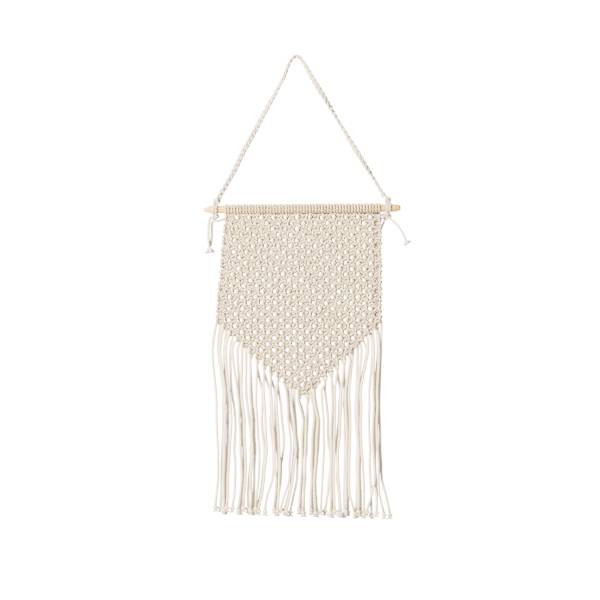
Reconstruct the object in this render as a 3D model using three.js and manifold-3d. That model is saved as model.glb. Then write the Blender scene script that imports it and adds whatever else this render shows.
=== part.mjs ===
// Macrame wall hanging: a net of square knots that hangs from a whittled dowel by lark's heads,
// with a long fringe of knotted cord ends below it and a braided hanging cord above it.
// Millimetres, +Z up, the front faces -Y. The origin is where the hanging cord rests on its nail.

import * as THREE from 'three';
import { mergeVertices } from 'three/addons/utils/BufferGeometryUtils.js';
import Module from 'manifold-3d';

const wasm = await Module();
wasm.setup();

// ---- driving dimensions ----

const cordDiameter = 3.2;
const seatGap = 0.3; // left between neighbouring pieces

const dowel = { x: 7.4, z: -196.1, tilt: 0.51, radius: 5.2, length: 256.4, sides: 12 };
const dowelEnds = { leftTaper: 11, rightTaper: 9, tipRadius: 2.3, tipRounding: 1.2 };

const heading = { left: -94, right: 109.4, heads: 26, ridge: 6.9, valley: 6.1 };

// The net is laid out on half columns: knots and holes alternate along a row, and from row to row.
const net = { rows: 31, fullRows: 19, halfColumns: 24 };
const knot = { halfWidth: 6.5, halfHeight: 5, bump: 3, waist: 1.8, leg: 1.6 };
const hole = { halfWidth: 1.9, halfHeight: 2.8 };
const sideCord = { inset: 1.1 }; // how far the edge draws in between two outer knots

// Where full rows have their leftmost, middle and rightmost knots; the rows between are interpolated.
const netSections = [
  { row: 1, z: -208.5, left: -86.6, middle: 8.2, right: 102.7 },
  { row: 7, z: -251.9, left: -90.9, middle: 7.0, right: 103.2 },
  { row: 11, z: -281.3, left: -93.1, middle: 6.0, right: 103.2 },
  { row: 15, z: -310.8, left: -96.6, middle: 4.8, right: 103.1 },
  { row: 19, z: -340.7, left: -97.5, middle: 5.1, right: 103.6 },
  { row: 25, z: -387.4, left: -98.7, middle: 5.1, right: 108.4 },
  { row: 31, z: -432.3, left: -97.6, middle: 7.7, right: 111 },
];

// The fringe's strands from left to right: x at four heights below the net and at the end knot.
const fringeHeights = { high: -431.6, upper: -470.6, middle: -509.6, lower: -548.6 };
const fringe = { radius: 1.6, layer: 1.75, leftEnd: -587, rightEnd: -592 };
const endKnot = { radius: 2.7, height: 6.5, tip: 1.5, stagger: [0, -1, -5.5, -6.5] };
const fringeBow = { outerLeft: -6, innerLeft: -3, outerRight: 2.5, innerRight: 2, longDrop: 40 };
const rootStrip = { width: 2.6, depth: 3.4, offset: 7.65, rowStep: 3, outerRoot: -3, innerRoot: 2.5 };
const fringeStrands = [
  { high: -105, upper: -104, middle: -102, lower: -102, end: -105.5 },
  { high: -95.5, upper: -95.5, middle: -96.5, lower: -97.5, end: -99 },
  { high: -93, upper: -92.5, middle: -93.5, lower: -95, end: -94.5 },
  { high: -91, upper: -89, middle: -90, lower: -92, end: -92 },
  { high: -88, upper: -84.5, middle: -87, lower: -89, end: -90.5 },
  { high: -84.5, upper: -79.5, middle: -81, lower: -80, end: -83.5 },
  { high: -77, upper: -74.5, middle: -73, lower: -71.5, end: -76 },
  { high: -74, upper: -70.5, middle: -69, lower: -68.5, end: -73 },
  { high: -71.5, upper: -67.5, middle: -66.5, lower: -66.5, end: -69 },
  { high: -65.5, upper: -61.5, middle: -59.5, lower: -62, end: -63 },
  { high: -60.5, upper: -58, middle: -57, lower: -59.5, end: -60 },
  { high: -58.5, upper: -55, middle: -53.5, lower: -55, end: -56.5 },
  { high: -52.5, upper: -51, middle: -48.5, lower: -49.5, end: -53 },
  { high: -45, upper: -45, middle: -41.5, lower: -44.5, end: -51 },
  { high: -43, upper: -40.5, middle: -38.5, lower: -42.5, end: -49.5 },
  { high: -35, upper: -34, middle: -30.5, lower: -31.5, end: -41 },
  { high: -33.5, upper: -31.5, middle: -28.5, lower: -26.5, end: -29.5 },
  { high: -28, upper: -27.5, middle: -25, lower: -24, end: -29 },
  { high: -26, upper: -24.5, middle: -22.5, lower: -22.5, end: -25 },
  { high: -23.5, upper: -19, middle: -17, lower: -20.5, end: -25.5 },
  { high: -13.5, upper: -11, middle: -7.5, lower: -9.5, end: -20.5 },
  { high: -11, upper: -7.5, middle: -3, lower: -6, end: -15 },
  { high: -9, upper: -4.5, middle: -1, lower: -5, end: -13 },
  { high: -7.5, upper: -2, middle: 2, lower: 0.5, end: -8 },
  { high: -1, upper: 8.5, middle: 7, lower: 5.5, end: 3 },
  { high: 2.5, upper: 10, middle: 8.5, lower: 7, end: 5 },
  { high: 13.5, upper: 12.5, middle: 11.5, lower: 10, end: 8 },
  { high: 15, upper: 14.5, middle: 13, lower: 11, end: 9.5 },
  { high: 18.5, upper: 22.5, middle: 20, lower: 19.5, end: 18.5 },
  { high: 20, upper: 25, middle: 22.5, lower: 21, end: 21 },
  { high: 22, upper: 28, middle: 26, lower: 23, end: 24.5 },
  { high: 23.5, upper: 29.5, middle: 28, lower: 24.5, end: 27 },
  { high: 32.5, upper: 35, middle: 35.5, lower: 33.5, end: 31.5 },
  { high: 37, upper: 41, middle: 43, lower: 42, end: 37 },
  { high: 46, upper: 45.5, middle: 45.5, lower: 44.5, end: 44 },
  { high: 47.5, upper: 47.5, middle: 47.5, lower: 47, end: 46.5 },
  { high: 49.5, upper: 50, middle: 49, lower: 48.5, end: 49.5 },
  { high: 57, upper: 55, middle: 52.5, lower: 53, end: 56 },
  { high: 58, upper: 56.5, middle: 54, lower: 54.5, end: 57.5 },
  { high: 62.5, upper: 63, middle: 63, lower: 62.5, end: 62.5 },
  { high: 64, upper: 65, middle: 65, lower: 64.5, end: 64 },
  { high: 66, upper: 67, middle: 67, lower: 66.5, end: 67 },
  { high: 67.5, upper: 69, middle: 68.5, lower: 68, end: 75.5 },
  { high: 78, upper: 77, middle: 79, lower: 79, end: 78 },
  { high: 80, upper: 79.5, middle: 81, lower: 80.5, end: 80.5 },
  { high: 82, upper: 81.5, middle: 82.5, lower: 82.5, end: 83.5 },
  { high: 83.5, upper: 83.5, middle: 84.5, lower: 87, end: 87.5 },
  { high: 94.5, upper: 94, middle: 95.5, lower: 96, end: 97.5 },
  { high: 99.5, upper: 99.5, middle: 99.5, lower: 101.5, end: 91.5 },
  { high: 102, upper: 102.5, middle: 102, lower: 103, end: 104 },
  { high: 105, upper: 104.5, middle: 105.5, lower: 106.5, end: 113.5 },
  { high: 108, upper: 108, middle: 109, lower: 111, end: 121.5 },
];

// The hanging cord is a flat braid: seen from the front it turns slowly between its face and its edge.
const braid = { width: 2.9, depth: 1.9, bump: 0.45, steps: 80, sides: 8, bumpSteps: 2, turns: 2.5 };
const braidRoute = [
  { x: -102.2, z: -183.3 },
  { x: -82.2, z: -148.6 },
  { x: -70.2, z: -124 },
  { x: -56.7, z: -99.3 },
  { x: -41.9, z: -71.8 },
  { x: -28.6, z: -47.5 },
  { x: -16.3, z: -24.3 },
  { x: -9.9, z: -7.8 },
  { x: -4.9, z: 0 },
  { x: 0, z: 2.2 },
  { x: 4.2, z: 0.4 },
  { x: 11.6, z: -10.3 },
  { x: 19.9, z: -24.3 },
  { x: 34.3, z: -47 },
  { x: 53, z: -77.5 },
  { x: 72, z: -108.5 },
  { x: 91, z: -139.6 },
  { x: 114.5, z: -178.6 },
];

// Each tie is a knot above the dowel, a turn of cord round it and a knot below it.
const ties = {
  left: {
    x: -106.4,
    upper: { x: -104.6, z: -187.6, width: 10.2, height: 8 },
    lower: { x: -104.4, z: -206.9, width: 9.8, height: 8.4 },
  },
  right: {
    x: 119.8,
    upper: { x: 117.6, z: -183.6, width: 9.8, height: 11 },
    lower: { x: 117, z: -205.9, width: 13.6, height: 9.8 },
  },
};
const turn = { ridge: 7.1, valley: 6.3, width: 6.4, strands: 2 };
const tieKnot = { depth: 9, turns: 3, groove: 0.14, sides: 9, rings: 6 };

// Loose strands of the ties. The front of the hanging faces -Y.
const tailTube = { sides: 8, steps: 6 };
const tails = {
  tail_left_outer: [
    { x: -109.6, y: -1.2, z: -207.6 },
    { x: -112.6, y: -1.6, z: -211.2 },
    { x: -113.8, y: -1.6, z: -217 },
    { x: -114.5, y: -1.6, z: -226 },
    { x: -114.8, y: -1.4, z: -236 },
    { x: -113.8, y: -1.2, z: -245 },
  ],
  tail_left_inner: [
    { x: -106.2, y: 1.4, z: -211.4 },
    { x: -109, y: 1.6, z: -217 },
    { x: -109.4, y: 1.6, z: -224 },
    { x: -109.2, y: 1.6, z: -233 },
    { x: -110.6, y: 1.6, z: -241 },
    { x: -111.8, y: 1.6, z: -245 },
  ],
  tail_left_return: [
    { x: -103.2, y: 0, z: -212.4 },
    { x: -101.2, y: 0, z: -212.9 },
    { x: -98.6, y: 0, z: -211.9 },
    { x: -93.4, y: 0, z: -210.4 },
  ],
  tail_right_outer: [
    { x: 121.9, y: -1, z: -209.9 },
    { x: 124.6, y: -1, z: -211.6 },
    { x: 129.4, y: -1, z: -217 },
    { x: 134.2, y: -1, z: -223.8 },
    { x: 138.6, y: -1, z: -231.4 },
    { x: 141.6, y: -1, z: -237 },
  ],
  tail_right_return: [
    { x: 114.6, y: 1.4, z: -211.2 },
    { x: 112.4, y: 3.4, z: -216.4 },
    { x: 110.6, y: 4.6, z: -221.4 },
    { x: 108.2, y: 5.4, z: -227.2 },
    { x: 106, y: 5.8, z: -231 },
  ],
};
const tailKnots = {
  tail_knot_left: { x: -113.2, z: -249.8, width: 11, height: 8.4 },
  tail_knot_right: { x: 143.1, z: -239.8, width: 6.4, height: 6.4 },
};

// ---- materials ----

const cotton = { color: 0xe6dac8, roughness: 0.95, metalness: 0 };
const fringeCotton = { color: 0xf1ebe0, roughness: 0.95, metalness: 0 };
const paleWood = { color: 0xe8ccab, roughness: 0.6, metalness: 0 };

// ---- geometry helpers ----

function lerp(from, to, share) {
  return from + (to - from) * share;
}

function toSolid(geometry) {
  const bare = geometry.clone();
  bare.deleteAttribute('normal');
  bare.deleteAttribute('uv');
  const merged = mergeVertices(bare, 1e-4);
  return new wasm.Manifold(new wasm.Mesh({
    numProp: 3,
    vertProperties: new Float32Array(merged.attributes.position.array),
    triVerts: new Uint32Array(merged.index.array),
  }));
}

function toGeometry(solid) {
  const mesh = solid.getMesh();
  const geometry = new THREE.BufferGeometry();
  geometry.setAttribute('position', new THREE.BufferAttribute(new Float32Array(mesh.vertProperties), 3));
  geometry.setIndex(new THREE.BufferAttribute(new Uint32Array(mesh.triVerts), 1));
  geometry.computeVertexNormals();
  return geometry;
}

function joined(geometries) {
  return geometries.map(toSolid).reduce((whole, piece) => whole.add(piece));
}

function namedMesh(name, geometry, look) {
  const mesh = new THREE.Mesh(geometry, new THREE.MeshStandardMaterial(look));
  mesh.name = name;
  return mesh;
}

// A tube whose section is a polygon with its corners on the circle.
function tube(points, radius, sides, steps) {
  const route = new THREE.CatmullRomCurve3(points.map((p) => new THREE.Vector3(p.x, p.y ?? 0, p.z)));
  const section = new THREE.Shape();
  for (let i = 0; i < sides; i += 1) {
    const angle = (2 * Math.PI * i) / sides;
    const corner = [radius * Math.cos(angle), radius * Math.sin(angle)];
    if (i === 0) section.moveTo(...corner);
    else section.lineTo(...corner);
  }
  section.closePath();
  return new THREE.ExtrudeGeometry(section, { extrudePath: route, steps, bevelEnabled: false });
}

// A profile of radius against place, turned about the dowel's axis (+X).
function turnedAboutX(profile, sides) {
  const points = profile.map((p) => new THREE.Vector2(p.radius, p.along));
  return new THREE.LatheGeometry(points, sides).rotateZ(-Math.PI / 2);
}

// ---- the dowel and the loops on it ----

function makeDowel() {
  const half = dowel.length / 2;
  const { leftTaper, rightTaper, tipRadius, tipRounding } = dowelEnds;
  return turnedAboutX([
    { radius: 0, along: -half },
    { radius: tipRadius, along: -half + tipRounding / 2 },
    { radius: dowel.radius, along: -half + leftTaper },
    { radius: dowel.radius, along: half - rightTaper },
    { radius: tipRadius * 1.6, along: half - tipRounding * 2 },
    { radius: tipRadius, along: half - tipRounding / 2 },
    { radius: 0, along: half },
  ], dowel.sides);
}

// One ridge for each lark's head, closed on itself round the dowel.
function makeHeading() {
  const start = heading.left - dowel.x;
  const pitch = (heading.right - heading.left) / heading.heads;
  const bore = dowel.radius + seatGap;
  const profile = [{ radius: bore, along: start }];
  for (let i = 0; i < heading.heads; i += 1) {
    profile.push({ radius: heading.valley, along: start + pitch * i });
    profile.push({ radius: heading.ridge, along: start + pitch * (i + 0.5) });
  }
  profile.push({ radius: heading.valley, along: start + pitch * heading.heads });
  profile.push({ radius: bore, along: start + pitch * heading.heads });
  profile.push({ radius: bore, along: start });
  return turnedAboutX(profile, dowel.sides);
}

function placeOnDowel(mesh) {
  mesh.position.set(dowel.x, 0, dowel.z);
  mesh.rotation.y = -THREE.MathUtils.degToRad(dowel.tilt);
  return mesh;
}

function dowelHeightAt(x) {
  return dowel.z + (x - dowel.x) * Math.tan(THREE.MathUtils.degToRad(dowel.tilt));
}

// ---- the net ----

function rowPlace(row) {
  const last = netSections.length - 1;
  const next = netSections.findIndex((section) => section.row > row);
  const upper = Math.min(next < 0 ? last : Math.max(next, 1), last);
  const [a, b] = [netSections[upper - 1], netSections[upper]];
  const share = (row - a.row) / (b.row - a.row);
  const place = {};
  for (const key of ['z', 'left', 'middle', 'right']) place[key] = lerp(a[key], b[key], share);
  return place;
}

function columnX(row, column) {
  const place = rowPlace(row);
  const half = net.halfColumns / 2;
  if (column < half) return lerp(place.left, place.middle, column / half);
  return lerp(place.middle, place.right, column / half - 1);
}

function cellKind(row, column) {
  const trim = Math.max(0, row - net.fullRows);
  const last = net.halfColumns - trim;
  if (row < 1 || row > net.rows || column < trim || column > last) return 'none';
  if ((row + column) % 2 === 1) return 'knot';
  return column === 0 || column === net.halfColumns ? 'side' : 'hole';
}

// The net's top edge lies just under the loops on the tilted dowel.
function netTopAt(x) {
  return dowelHeightAt(x) - heading.ridge - seatGap;
}

function cornerPoint(row, column) {
  const x = columnX(row, column);
  return { x, y: knot.leg, z: row < 1 ? netTopAt(x) : rowPlace(row).z };
}

// The point that two neighbouring cells share in the middle of their common side. It lies on the
// rim of the hole between two knots, and bulges beyond the knot where the net ends.
function sidePoint(row, column, alongRow, alongColumn) {
  const isKnot = cellKind(row, column) === 'knot';
  const other = { row: row + alongRow, column: column + alongColumn };
  const outside = cellKind(other.row, other.column) === 'none';
  const y = alongColumn === 0 ? knot.waist : knot.bump;
  const centre = isKnot && !outside ? other : { row, column };
  const sign = isKnot && !outside ? -1 : 1;
  const reach = isKnot && outside
    ? { x: knot.halfWidth, z: knot.halfHeight }
    : { x: hole.halfWidth, z: hole.halfHeight };
  const x = columnX(centre.row, centre.column) + sign * alongColumn * reach.x;
  const z = rowPlace(centre.row).z - sign * alongRow * reach.z;
  if (outside && row === 1 && alongRow < 0) return { x, y, z: netTopAt(x) };
  if (!isKnot && outside) {
    return { x: columnX(row, column) + alongColumn * (knot.halfWidth - sideCord.inset), y, z };
  }
  return { x, y, z };
}

// The eight points round a cell, clockwise from its top left corner as the front is seen.
const cellRim = [
  { corner: true, row: -0.5, column: -0.5 },
  { corner: false, row: -1, column: 0 },
  { corner: true, row: -0.5, column: 0.5 },
  { corner: false, row: 0, column: 1 },
  { corner: true, row: 0.5, column: 0.5 },
  { corner: false, row: 1, column: 0 },
  { corner: true, row: 0.5, column: -0.5 },
  { corner: false, row: 0, column: -1 },
];
const filledCell = [[7, 0, 1], [7, 1, 3], [1, 2, 3], [3, 4, 5], [3, 5, 7], [5, 6, 7]];
const holeCorners = [[7, 0, 1], [1, 2, 3], [3, 4, 5], [5, 6, 7]];
const topWeb = [0, 2, 1];

function makeNet() {
  const points = [];
  const pointOf = new Map();
  const faces = [];

  function rimPoint(row, column, rim) {
    const key = rim.corner
      ? `${row + rim.row} ${column + rim.column}`
      : `${row + rim.row / 2} ${column + rim.column / 2}`;
    if (!pointOf.has(key)) {
      pointOf.set(key, points.length);
      points.push(rim.corner
        ? cornerPoint(row + rim.row, column + rim.column)
        : sidePoint(row, column, rim.row, rim.column));
    }
    return pointOf.get(key);
  }

  for (let row = 1; row <= net.rows; row += 1) {
    for (let column = 0; column <= net.halfColumns; column += 1) {
      const kind = cellKind(row, column);
      if (kind === 'none') continue;
      const rim = cellRim.map((place) => rimPoint(row, column, place));
      const cell = kind === 'hole' ? [...holeCorners] : filledCell;
      if (kind === 'hole' && row === 1) cell.push(topWeb);
      for (const face of cell) faces.push(face.map((i) => rim[i]));
    }
  }
  return thickened(points, faces);
}

// Closes a front sheet with its mirror image at the back and a wall along every free edge.
function thickened(points, faces) {
  const count = points.length;
  const position = [];
  for (const side of [-1, 1]) {
    for (const p of points) position.push(p.x, side * p.y, p.z);
  }
  const index = [];
  const edges = new Set(faces.flatMap(([a, b, c]) => [`${a} ${b}`, `${b} ${c}`, `${c} ${a}`]));
  for (const [a, b, c] of faces) {
    index.push(a, c, b, a + count, b + count, c + count);
    for (const [from, to] of [[a, b], [b, c], [c, a]]) {
      if (edges.has(`${to} ${from}`)) continue;
      index.push(from, to, to + count, from, to + count, from + count);
    }
  }
  const geometry = new THREE.BufferGeometry();
  geometry.setAttribute('position', new THREE.Float32BufferAttribute(position, 3));
  geometry.setIndex(index);
  geometry.computeVertexNormals();
  return geometry;
}

// ---- the fringe ----

// The outermost knot of a row on one side, as a point of the front view.
function edgeKnot(row, side) {
  const step = row - net.fullRows;
  const column = side < 0 ? step : net.halfColumns - step;
  return new THREE.Vector2(columnX(row, column), rowPlace(row).z);
}

// The slanting lower edge of one side: its first and last knot, and the ways along it and out of it.
function lowerEdge(side) {
  const first = edgeKnot(net.fullRows, side);
  const last = edgeKnot(net.rows, side);
  const along = last.clone().sub(first).normalize();
  const out = new THREE.Vector2(side * -along.y, side * along.x);
  return { first, last, along, out };
}

// Two strands leave each edge knot of the last rows, and four leave the lowest knot.
function strandRoot(number) {
  const side = number < fringeStrands.length / 2 ? -1 : 1;
  const fromEdge = side < 0 ? number : fringeStrands.length - 1 - number;
  const outer = fromEdge % 2 === 0;
  const { along, out } = lowerEdge(side);
  const place = edgeKnot(net.fullRows + Math.floor(fromEdge / 2), side)
    .addScaledVector(out, rootStrip.offset)
    .addScaledVector(along, outer ? rootStrip.outerRoot : rootStrip.innerRoot);
  if (fromEdge > fringeStrands.length / 2 - 2) place.addScaledVector(along, -rootStrip.innerRoot);
  return { x: place.x, z: place.y, outer, side };
}

function strandPath(number) {
  const strand = fringeStrands[number];
  const root = strandRoot(number);
  const y = number % 2 === 0 ? -fringe.layer : fringe.layer;
  const points = [{ x: root.x, y: y / 2, z: root.z }];
  const drop = root.z - fringeHeights.high;
  if (drop > fringeBow.longDrop) {
    const left = root.outer ? fringeBow.outerLeft : fringeBow.innerLeft;
    const right = root.outer ? fringeBow.outerRight : fringeBow.innerRight;
    points.push({
      x: (root.x + strand.high) / 2 + (root.side < 0 ? left : right),
      y,
      z: root.z - drop / 2,
    });
  }
  for (const [name, z] of Object.entries(fringeHeights)) {
    if (z < root.z - 2) points.push({ x: strand[name], y, z });
  }
  const across = number / (fringeStrands.length - 1);
  const endZ = lerp(fringe.leftEnd, fringe.rightEnd, across) + endKnot.stagger[number % 4];
  points.push({ x: strand.end, y, z: endZ + endKnot.height / 2 });
  return points.map((point) => ({ ...point, radius: fringe.radius })).concat([
    { x: strand.end, y, z: endZ, radius: endKnot.radius },
    { x: strand.end, y, z: endZ - endKnot.height / 2, radius: endKnot.tip },
  ]);
}

// A four-sided strand through level rings of given radius, closed at both ends.
function makeStrand(rings) {
  const corners = [[1, 0], [0, 1], [-1, 0], [0, -1]];
  const position = rings.flatMap((ring) => (
    corners.flatMap(([x, y]) => [ring.x + x * ring.radius, ring.y + y * ring.radius, ring.z])
  ));
  const index = [0, 1, 2, 0, 2, 3];
  for (let i = 0; i < (rings.length - 1) * 4; i += 1) {
    const next = i % 4 === 3 ? i - 3 : i + 1;
    index.push(i, i + 4, next, next, i + 4, next + 4);
  }
  const last = (rings.length - 1) * 4;
  index.push(last, last + 2, last + 1, last, last + 3, last + 2);
  const geometry = new THREE.BufferGeometry();
  geometry.setAttribute('position', new THREE.Float32BufferAttribute(position, 3));
  geometry.setIndex(index);
  return geometry;
}

// The narrow strip along the net's lower edge that carries the roots of one side.
function makeRootStrip(side) {
  const { along, out } = lowerEdge(side);
  const middle = [];
  for (let row = net.fullRows; row <= net.rows; row += rootStrip.rowStep) {
    middle.push(edgeKnot(row, side).addScaledVector(out, rootStrip.offset));
  }
  middle[0].addScaledVector(along, -knot.halfWidth);
  const tip = middle.at(-1);
  const reach = (edgeKnot(net.rows, side).x + side * seatGap - tip.x) / along.x;
  tip.addScaledVector(along, reach);
  const half = new THREE.Vector2(0, rootStrip.width / (2 * Math.abs(along.x)));
  const inner = middle.map((point) => point.clone().add(half));
  const outer = middle.map((point) => point.clone().sub(half));
  const band = new THREE.ExtrudeGeometry(new THREE.Shape([...inner, ...outer.reverse()]), {
    depth: rootStrip.depth,
    bevelEnabled: false,
  });
  return band.rotateX(Math.PI / 2).translate(0, rootStrip.depth / 2, 0);
}

function makeFringe(side) {
  const half = fringeStrands.length / 2;
  const first = side < 0 ? 0 : half;
  const pieces = [makeRootStrip(side)];
  for (let number = first; number < first + half; number += 1) {
    pieces.push(makeStrand(strandPath(number)));
  }
  return toGeometry(joined(pieces));
}

// ---- the hanging cord, its ties and their tails ----

// A flat tube whose edges swell in turn, as the strands of a braid come round them.
function makeBraid() {
  const geometry = tube(braidRoute, 1, braid.sides, braid.steps);
  const route = new THREE.CatmullRomCurve3(braidRoute.map((p) => new THREE.Vector3(p.x, 0, p.z)));
  const stations = route.getSpacedPoints(braid.steps);
  const position = geometry.attributes.position;
  const vertex = new THREE.Vector3();
  for (let i = 0; i < position.count; i += 1) {
    vertex.fromBufferAttribute(position, i);
    const distances = stations.map((station) => station.distanceToSquared(vertex));
    const station = distances.indexOf(Math.min(...distances));
    const ahead = stations[Math.min(station + 1, braid.steps)];
    const behind = stations[Math.max(station - 1, 0)];
    const along = ahead.clone().sub(behind).normalize();
    const roll = (Math.PI * braid.turns * station) / braid.steps;
    const flat = new THREE.Vector3(-along.z, 0, along.x)
      .multiplyScalar(Math.cos(roll))
      .add(new THREE.Vector3(0, Math.sin(roll), 0));
    const thin = flat.clone().cross(along);
    const offset = vertex.clone().sub(stations[station]);
    const across = offset.dot(flat);
    const swell = braid.bump * Math.sign(across) * (station % braid.bumpSteps === 0 ? 1 : -1);
    vertex.copy(stations[station])
      .addScaledVector(flat, across * (braid.width + swell))
      .addScaledVector(thin, offset.dot(thin) * braid.depth);
    position.setXYZ(i, vertex.x, vertex.y, vertex.z);
  }
  geometry.computeVertexNormals();
  return geometry;
}

// A rounded body with slanting grooves, as the crossed turns of an overhand knot leave it.
function knotBody(place) {
  const body = new THREE.SphereGeometry(1, tieKnot.sides, tieKnot.rings);
  const position = body.attributes.position;
  for (let i = 0; i < position.count; i += 1) {
    const slope = Math.atan2(position.getZ(i), position.getX(i)) + position.getY(i);
    const level = Math.hypot(position.getX(i), position.getZ(i));
    const scale = 1 - tieKnot.groove * level * (0.5 + 0.5 * Math.cos(tieKnot.turns * slope));
    position.setXYZ(i, position.getX(i) * scale, position.getY(i) * scale, position.getZ(i) * scale);
  }
  return body
    .rotateX(Math.PI / 2)
    .scale(place.width / 2, tieKnot.depth / 2, place.height / 2)
    .translate(place.x, 0, place.z);
}

// The turn of cord round the dowel: one ridge for each strand, closed on itself.
function makeTurn(x) {
  const bore = dowel.radius + seatGap;
  const start = x - turn.width / 2 - dowel.x;
  const pitch = turn.width / turn.strands;
  const profile = [{ radius: bore, along: start }];
  for (let i = 0; i < turn.strands; i += 1) {
    profile.push({ radius: turn.valley, along: start + pitch * i });
    profile.push({ radius: turn.ridge, along: start + pitch * (i + 0.5) });
  }
  profile.push({ radius: turn.valley, along: start + turn.width });
  profile.push({ radius: bore, along: start + turn.width });
  profile.push({ radius: bore, along: start });
  return turnedAboutX(profile, dowel.sides)
    .rotateY(-THREE.MathUtils.degToRad(dowel.tilt))
    .translate(dowel.x, 0, dowel.z);
}

function makeTie(tie) {
  return toGeometry(joined([makeTurn(tie.x), knotBody(tie.upper), knotBody(tie.lower)]));
}

// ---- the whole hanging ----

const group = new THREE.Group();
group.add(placeOnDowel(namedMesh('dowel', makeDowel(), paleWood)));
group.add(placeOnDowel(namedMesh('heading_loops', makeHeading(), cotton)));
group.add(namedMesh('net', makeNet(), cotton));
group.add(namedMesh('fringe_left', makeFringe(-1), fringeCotton));
group.add(namedMesh('fringe_right', makeFringe(1), fringeCotton));
group.add(namedMesh('hanging_cord', makeBraid(), cotton));
group.add(namedMesh('tie_left', makeTie(ties.left), cotton));
group.add(namedMesh('tie_right', makeTie(ties.right), cotton));
for (const [name, route] of Object.entries(tails)) {
  group.add(namedMesh(name, tube(route, cordDiameter / 2, tailTube.sides, tailTube.steps), cotton));
}
for (const [name, place] of Object.entries(tailKnots)) {
  group.add(namedMesh(name, knotBody(place), cotton));
}

export default group;
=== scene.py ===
# A macrame hanging of cotton cord: a net of square knots on a whittled dowel, with a knotted
# fringe below it and a braided hanging cord above it. Metres, +Z up, the front faces -Y.
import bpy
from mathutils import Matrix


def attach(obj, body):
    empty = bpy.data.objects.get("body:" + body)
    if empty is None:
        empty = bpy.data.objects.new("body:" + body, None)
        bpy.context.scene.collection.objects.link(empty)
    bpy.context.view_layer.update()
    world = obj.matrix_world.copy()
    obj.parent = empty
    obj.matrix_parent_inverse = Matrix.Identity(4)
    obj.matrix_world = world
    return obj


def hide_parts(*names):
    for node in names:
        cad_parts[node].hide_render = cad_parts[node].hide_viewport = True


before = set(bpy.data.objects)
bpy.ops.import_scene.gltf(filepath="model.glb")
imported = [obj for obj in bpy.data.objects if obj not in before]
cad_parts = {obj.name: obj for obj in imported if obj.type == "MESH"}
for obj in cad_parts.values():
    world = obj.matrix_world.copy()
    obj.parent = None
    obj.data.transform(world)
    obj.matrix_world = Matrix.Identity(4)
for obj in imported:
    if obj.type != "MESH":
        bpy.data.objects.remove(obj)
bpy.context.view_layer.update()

import math
import random

import bpy
from mathutils import Vector

up = Vector((0, 0, 1))
back = Vector((0, 1, 0))
draw = random.Random(26)  # every uneven touch comes from this one seed


# the camera looks level from the front
camera = {"aim": (0.0044, 0, -0.3146), "distance": 3.0, "width": 0.78, "sensor": 36}


def makeCamera():
    data = bpy.data.cameras.new("camera")
    data.sensor_width = camera["sensor"]
    data.lens = camera["sensor"] * camera["distance"] / camera["width"]
    data.clip_end = 50
    made = bpy.data.objects.new("camera", data)
    bpy.context.scene.collection.objects.link(made)
    made.location = Vector(camera["aim"]) - back * camera["distance"]
    made.rotation_euler = (math.radians(90), 0, 0)
    bpy.context.scene.camera = made


makeCamera()
bpy.ops.object.select_all(action="DESELECT")
print("camera placed")


def mix(first, second, share):
    return first + (second - first) * share


def tableValue(rows, place):
    # reads a table of (place, value) rows, with straight lines between them
    if place <= rows[0][0]:
        return rows[0][1]
    for (before, low), (after, high) in zip(rows, rows[1:]):
        if place <= after:
            return mix(low, high, (place - before) / (after - before))
    return rows[-1][1]


def onCurve(points, index, share):
    # a smooth curve through the points, as a list of numbers of any length
    a = points[max(index - 1, 0)]
    b = points[index]
    c = points[index + 1]
    d = points[min(index + 2, len(points) - 1)]
    square = share * share
    cube = square * share
    return [
        0.5 * (2 * q + (r - p) * share + (2 * p - 5 * q + 4 * r - s) * square
               + (3 * q - p - 3 * r + s) * cube)
        for p, q, r, s in zip(a, b, c, d)
    ]


mostRings = 5  # between one control point and the next


def smoothRoute(points, bend, longest=0.02):
    # more rings where the route bends, fewer where it is straight; bend is the turn for each ring
    route = [points[0]]
    for i in range(len(points) - 1):
        here = Vector(points[i + 1][:3]) - Vector(points[i][:3])
        turning = 0
        for j, k in ((i, i - 1), (i + 2, i + 1)):
            if 0 <= k and j < len(points):
                turning += here.angle(Vector(points[j][:3]) - Vector(points[k][:3]), 0) / 2
        steps = max(1, min(mostRings, round(turning / bend)), math.ceil(here.length / longest))
        route.extend(onCurve(points, i, (step + 1) / steps) for step in range(steps))
    return route


def ringFrames(route, facing):
    # one (centre, thin way, wide way, along) for each station, with no sudden turn between them;
    # facing is the first thin way, or a list of one for each station
    centres = [Vector(station[:3]) for station in route]
    last = len(centres) - 1
    thin = facing
    frames = []
    for i, centre in enumerate(centres):
        along = (centres[min(i + 1, last)] - centres[max(i - 1, 0)]).normalized()
        if isinstance(facing, list):
            thin = facing[i]
        thin = (thin - along * thin.dot(along)).normalized()
        frames.append((centre, thin.copy(), along.cross(thin), along))
    return frames


def routeLength(points):
    return sum((Vector(b[:3]) - Vector(a[:3])).length for a, b in zip(points, points[1:]))


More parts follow.
